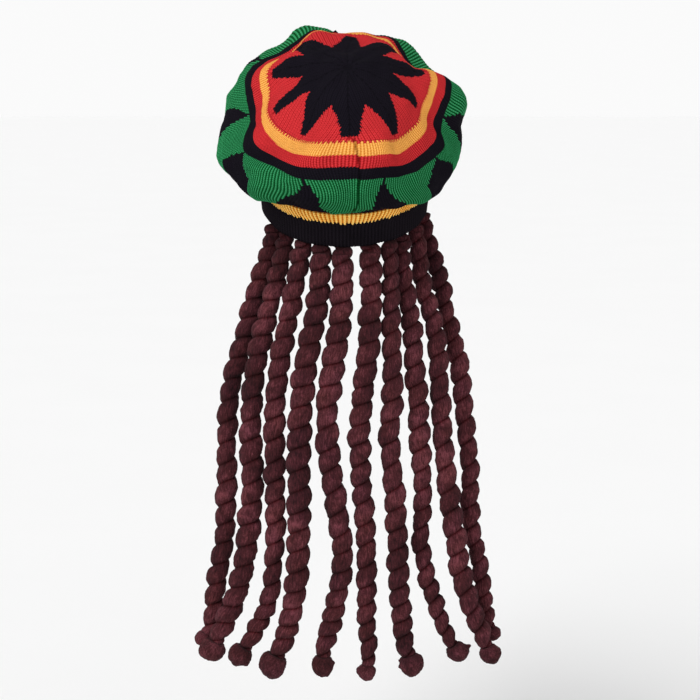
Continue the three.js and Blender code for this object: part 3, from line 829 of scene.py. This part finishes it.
# Where the twist's grooves cross the back of each lock, in mm down from its root
GROOVES = {
    1: (7, 21, 35, 55, 75, 94, 114, 135, 156, 177, 199, 219, 240, 258, 280, 300, 319, 340, 360, 381, 402),
    2: (0, 14, 30, 47, 66, 84, 102, 121, 142, 164, 185, 205, 226, 247, 267, 287, 309, 329, 350, 371, 389),
    3: (4, 20, 39, 58, 78, 95, 115, 134, 156, 174, 195, 217, 236, 256, 277, 297, 318, 338, 359, 375, 389),
    4: (6, 23, 41, 58, 77, 96, 118, 137, 157, 178, 197, 219, 239, 260, 278, 297, 318, 338, 355, 373, 386),
    5: (16, 35, 53, 73, 92, 113, 134, 155, 175, 197, 216, 237, 259, 281, 298, 317, 335, 352, 367, 382),
    6: (20, 38, 55, 75, 94, 115, 137, 154, 174, 193, 213, 232, 250, 272, 291, 313, 333, 351, 369, 386),
    7: (16, 33, 49, 69, 89, 111, 134, 155, 175, 196, 218, 242, 261, 281, 300, 319, 338, 355, 371, 386),
    8: (6, 19, 35, 54, 74, 90, 107, 129, 148, 168, 189, 211, 231, 250, 270, 288, 310, 328, 346, 362, 378, 395),
    9: (16, 34, 52, 73, 91, 109, 130, 151, 173, 195, 218, 240, 263, 283, 305, 325, 343, 363, 384, 402),
    10: (10, 27, 43, 59, 75, 93, 111, 129, 147, 169, 189, 211, 232, 255, 275, 296, 316, 333, 351, 369, 386, 402),
}


# How deep the groove cuts at the left and at the right edge: (share of the way down, mm, mm)
BEADS = {
    0: ((0, 3.6, 4.0), (0.75, 3.9, 4.4), (1, 2.6, 5.4)),
    1: ((0, 3.9, 3.6), (1, 4.3, 4.0)),
    2: ((0, 3.9, 3.6), (1, 4.0, 4.2)),
    8: ((0, 3.0, 4.8), (0.4, 3.4, 4.6), (0.8, 2.8, 5.4), (1, 1.6, 6.0)),
    9: ((0, 3.0, 4.8), (1, 3.0, 5.5)),
    10: ((0, 3.4, 5.2), (1, 3.0, 5.6)),
}


def spline(points, n):
    """Centripetal Catmull-Rom through the points, as the CAD's curve, at n even steps."""
    p = np.asarray(points, float)
    p = np.vstack([2 * p[0] - p[1], p, 2 * p[-1] - p[-2]])
    out = []
    for i in range(1, len(p) - 2):
        p0, p1, p2, p3 = p[i - 1:i + 3]
        d1 = max(np.linalg.norm(p1 - p0) ** 0.5, 1e-4)
        d2 = max(np.linalg.norm(p2 - p1) ** 0.5, 1e-4)
        d3 = max(np.linalg.norm(p3 - p2) ** 0.5, 1e-4)
        m1 = ((p1 - p0) / d1 - (p2 - p0) / (d1 + d2) + (p2 - p1) / d2) * d2
        m2 = ((p2 - p1) / d2 - (p3 - p1) / (d2 + d3) + (p3 - p2) / d3) * d2
        for t in np.linspace(0, 1, 40, endpoint=False):
            out.append(p1 * (2 * t**3 - 3 * t**2 + 1) + m1 * (t**3 - 2 * t**2 + t) + p2 * (-2 * t**3 + 3 * t**2) + m2 * (t**3 - t**2))
    out.append(p[-2])
    out = np.array(out)
    d = np.concatenate([[0], np.cumsum(np.linalg.norm(np.diff(out, axis=0), axis=1))])
    s = np.linspace(0, d[-1], n)
    return np.stack([np.interp(s, d, out[:, i]) for i in range(3)], 1), d[-1]


def lock_route(no):
    root_az, xs, ys, end, knot_dia, knot_at = LOCKS[no]
    edge = on_band(np.array(root_az), BAND_WALL / 2, 0.0)
    end, knot = np.array(end, float), np.array(knot_at, float)
    away = unit(end - knot)
    pts = [edge + BAND_DOWN * LOCK_GAP, edge + BAND_DOWN * (LOCK_GAP + 6)]
    pts += [np.array([x, y, edge[2] - d]) for x, y, d in zip(xs, ys, DROPS)]
    pts += [end, knot + away * (knot_dia / 2 * KNOT_FLAT + KNOT_GAP)]
    return pts


def lock_object(no):
    rows, around = 330, 40
    line, length = spline(lock_route(no), rows)
    s = np.linspace(0, length, rows)
    tan = unit(np.gradient(line, axis=0))
    ex = unit(np.array([1.0, 0, 0]) - tan * tan[:, :1])
    ey = np.cross(tan, ex)               # for a lock that hangs down this points to the camera
    grooves = np.array(GROOVES[no], float)
    step = np.diff(grooves).mean()
    g = np.interp(s, grooves, np.arange(len(grooves)))
    g = np.where(s < grooves[0], (s - grooves[0]) / step, g)
    g = np.where(s > grooves[-1], len(grooves) - 1 + (s - grooves[-1]) / step, g)
    w = WIDTHS[no]
    dia = np.interp(s / length, [a for a, _ in w], [b for _, b in w])
    r = dia / 2 + 1.4
    r1 = np.random.default_rng(100 + no)
    phi = 2 * np.pi * np.arange(around) / around
    cphi, sphi = np.cos(phi), np.sin(phi)
    # one groove winds round the lock, rising to the right at the back
    side = (np.pi / 2 - phi + np.pi) % (2 * np.pi) - np.pi      # 0 towards the camera, + to the right
    turn = g[:, None] + side[None, :] / (2 * np.pi)
    bead = np.floor(turn)
    f = turn - bead
    edge = np.abs(2 * f - 1)
    round_ = np.maximum(1 - edge**2.1, 0) ** 0.62
    deep = np.minimum(f, 1 - f) * step                          # mm from the groove
    lean = BEADS.get(no, BEADS[0])
    share = s / length
    left = np.interp(share, [a for a, _, _ in lean], [b for _, b, _ in lean])
    right = np.interp(share, [a for a, _, _ in lean], [c for _, _, c in lean])
    depth = (left + right)[:, None] / 2 + (right - left)[:, None] / 2 * np.sin(side)[None, :]
    k = (bead.astype(int) + 4) % 64
    plump = r1.normal(0, 0.045, 64)[k]
    wob = r1.normal(0, 0.05, 64)[k] * np.sin(side)[None, :] + r1.normal(0, 0.05, 64)[k] * np.cos(side)[None, :]
    shape = 1 - depth / r[:, None] * (1 - round_) + (plump + wob) * round_
    taper = np.interp(s, [0, 3, 8], [0.80, 0.95, 1.0]) * np.interp(length - s, [0, 2.5, 9, 20], [0.74, 0.82, 0.92, 1.0])
    rad = r[:, None] * taper[:, None] * shape
    flat = np.interp(s, [0, 10], [0.75, 1.0])
    dirs = ex[:, None, :] * cphi[None, :, None] + ey[:, None, :] * (sphi[None, :, None] * flat[:, None, None])
    pts = line[:, None, :] + dirs * rad[..., None]
    flatp = pts.reshape(-1, 3)
    noise = Ripple(20 + no, 9.0)(flatp) * 0.22 + Ripple(40 + no, 4.0)(flatp) * 0.10
    pts = flatp + dirs.reshape(-1, 3) * noise[:, None]
    uv = np.stack([np.tile(phi / (2 * np.pi), rows), np.repeat(s / 20.0, around)], 1)
    n = rows * around
    faces = []
    idx = np.arange(n).reshape(rows, around)
    a, b = idx[:-1], np.roll(idx[:-1], -1, 1)
    c, d = idx[1:], np.roll(idx[1:], -1, 1)
    quads = np.concatenate([np.stack([a, c, d], -1).reshape(-1, 3), np.stack([a, d, b], -1).reshape(-1, 3)])
    top, bot = n, n + 1
    caps = [(top, idx[0, i], idx[0, (i + 1) % around]) for i in range(around)]
    caps += [(bot, idx[-1, (i + 1) % around], idx[-1, i]) for i in range(around)]
    faces = np.vstack([quads, np.array(caps)])
    pts = np.vstack([pts, line[0], line[-1]])
    nrm = normals_of(pts, faces)
    m = idx[rows // 2, 0]
    if nrm[m] @ dirs.reshape(-1, 3)[m] < 0:
        faces = faces[:, ::-1]
    # painted shade: nearness to the twist's grooves, which lock_material paints darker
    ridge = np.concatenate([np.minimum(1.0, deep / 5.0).ravel(), [0.3, 0.3]])
    uv = np.vstack([uv, [[0, 0], [0, length / 20]]])
    obj = make_object(f"twist_{no:02d}", pts, faces, [LOCK_MAT], None, {"ridge": ridge}, uv)
    return obj, line, length


# Outline of each end knot: width and height against the plain ball, and lumps
# (angle in the photo's plane from the right, anticlockwise; how far out in mm; how wide in degrees)
KNOTS = {
    1: (1.0, 1.0, ((180, 0.6, 40),)),
    2: (1.08, 0.98, ((350, 0.9, 22), (250, -0.8, 40), (205, 0.8, 30))),
    3: (1.02, 0.98, ((245, 1.7, 13), (300, 2.2, 16), (185, 0.6, 30), (30, 0.5, 30), (272, -0.6, 12))),
    4: (1.0, 1.02, ((262, 1.5, 22), (30, 0.6, 30), (150, 0.6, 35))),
    5: (0.97, 1.08, ((8, 1.9, 12), (25, -1.3, 9), (268, 0.5, 30))),
    6: (0.98, 0.96, ((165, 1.6, 12), (185, 1.0, 10), (20, 0.6, 25), (275, 0.8, 25))),
    7: (0.98, 1.0, ((165, 1.7, 8), (182, -0.4, 6), (196, 1.5, 8), (20, 0.7, 25), (275, 0.8, 30))),
    8: (1.08, 0.90, ((32, 3.6, 11), (170, 0.9, 20), (290, 0.9, 30), (60, -0.8, 20))),
    9: (1.0, 0.96, ((200, 0.6, 30), (300, 0.5, 30), (40, 0.6, 30))),
    10: (1.0, 0.98, ((20, 0.5, 40),)),
}


def knot_object(no):
    root_az, xs, ys, end, dia, at = LOCKS[no]
    r = dia / 2.0
    wide, tall, lumps = KNOTS[no]
    import bmesh
    bm = bmesh.new()
    bmesh.ops.create_icosphere(bm, subdivisions=6, radius=1.0)
    dirs = np.array([v.co[:] for v in bm.verts])
    faces = np.array([[v.index for v in f.verts] for f in bm.faces])
    bm.free()
    dirs = unit(dirs)
    back = unit(np.array(end, float) - np.array(at, float))
    rad = np.full(len(dirs), r)
    rad = rad * (1 + 0.028 * Ripple(60 + no, 1.5)(dirs) + 0.014 * Ripple(80 + no, 0.6)(dirs) + 0.010 * Ripple(90 + no, 0.22)(dirs) + 0.006 * Ripple(110 + no, 0.1)(dirs))
    for ang, mm, spread in lumps:
        c = np.array([math.cos(math.radians(ang)), 0.0, math.sin(math.radians(ang))])
        a = np.degrees(np.arccos(np.clip(dirs @ c, -1, 1)))
        rad = rad + mm * np.exp(-((a / spread) ** 2))
    # the tied strands: two shallow grooves that wind over the ball
    side = unit(np.cross(back, np.array([0.25, 1.0, 0.15])))
    third = np.cross(back, side)
    turn = np.arctan2(dirs @ side, dirs @ third)
    along = dirs @ back
    groove = np.zeros(len(dirs))
    for off in (0.4, 0.4 + math.pi):
        delta = (turn - off - 1.3 * along + math.pi) % (2 * math.pi) - math.pi
        groove += np.exp(-((delta / 0.16) ** 2)) * (1 - along**4)
    ends = np.exp(-(((along + 0.9) / 0.12) ** 2)) * 0.5
    pleat = 0.5 + 0.5 * np.cos(9 * turn + 2.2 * along)
    gathered = smooth(0.35, 0.95, along)
    rad = rad * (1 - 0.035 * groove - 0.01 * ends - 0.03 * pleat * gathered)
    pts = dirs * rad[:, None]
    pts = pts * np.array([wide, 1.0, tall])
    flat = r * KNOT_FLAT
    up = pts @ back
    pts = pts - back * (np.maximum(up - flat, 0) * 0.96)[:, None]
    pts = pts + np.array(at, float)
    uv = np.stack([turn / (2 * math.pi) * 1.0, along], 1)
    # painted shade: darker in the tied strands' grooves and on the gathered top where the lock comes in
    ridge = 1 - 0.55 * np.clip(groove, 0, 1) - 0.35 * smooth(0.6, 0.74, along)
    return make_object(f"knot_{no:02d}", pts, faces, [KNOT_MAT], None, {"ridge": ridge}, uv)


# ------------------------------------------------------------------ build
crown = crown_object()
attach(crown, "root")
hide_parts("crown")

band = band_object()
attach(band, "root")
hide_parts("headband")

for number in sorted(LOCKS):
    knot = knot_object(number)
    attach(knot, "root")
    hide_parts(f"end_knot_{number:02d}")
    lock, route, long_mm = lock_object(number)
    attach(lock, "root")
    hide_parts(f"lock_{number:02d}")

# ------------------------------------------------------------------ floor and light
floor_mesh = bpy.data.meshes.new("floor")
floor_mesh.from_pydata([(-30, -30, -0.62), (30, -30, -0.62), (30, 30, -0.62), (-30, 30, -0.62)], [], [(0, 1, 2, 3)])
floor = bpy.data.objects.new("floor", floor_mesh)
scene.collection.objects.link(floor)
fm = Nodes("pale_floor")
fn = fm.noise(3.0, 2.0, 0.5)
fm.link(fm.ramp(fn, [(0.0, (0.93, 0.93, 0.93, 1)), (1.0, (0.95, 0.95, 0.95, 1))]), fm.bsdf.inputs["Base Color"])
fm.bsdf.inputs["Roughness"].default_value = 0.9
floor_mesh.materials.append(fm.mat)

world = bpy.data.worlds.new("studio")
world.use_nodes = True
wt = world.node_tree
around_ = wt.nodes.new("ShaderNodeTexCoord")
height_ = wt.nodes.new("ShaderNodeSeparateXYZ")
wt.links.new(around_.outputs["Generated"], height_.inputs[0])
sky = wt.nodes.new("ShaderNodeValToRGB")
sky.color_ramp.elements[0].position = 0.10
sky.color_ramp.elements[0].color = (1.0, 1.0, 1.0, 1.0)      # bright walls
sky.color_ramp.elements[1].position = 0.45
sky.color_ramp.elements[1].color = (CEILING, CEILING, CEILING, 1.0)
wt.links.new(height_.outputs["Z"], sky.inputs["Fac"])
wt.links.new(sky.outputs["Color"], wt.nodes["Background"].inputs["Color"])
wt.nodes["Background"].inputs["Strength"].default_value = WORLD_LIGHT
scene.world = world


def sun_light(name, toward_lamp, spread, strength):
    data = bpy.data.lights.new(name, "SUN")
    data.angle = math.radians(spread)
    data.energy = strength
    o = bpy.data.objects.new(name, data)
    o.rotation_euler = Vector(toward_lamp).to_track_quat("Z", "Y").to_euler()
    o.location = Vector(toward_lamp) * 2.0
    scene.collection.objects.link(o)


for light in LIGHTS:
    sun_light(*light)

scene.view_settings.view_transform = "Standard"
scene.view_settings.look = "None"
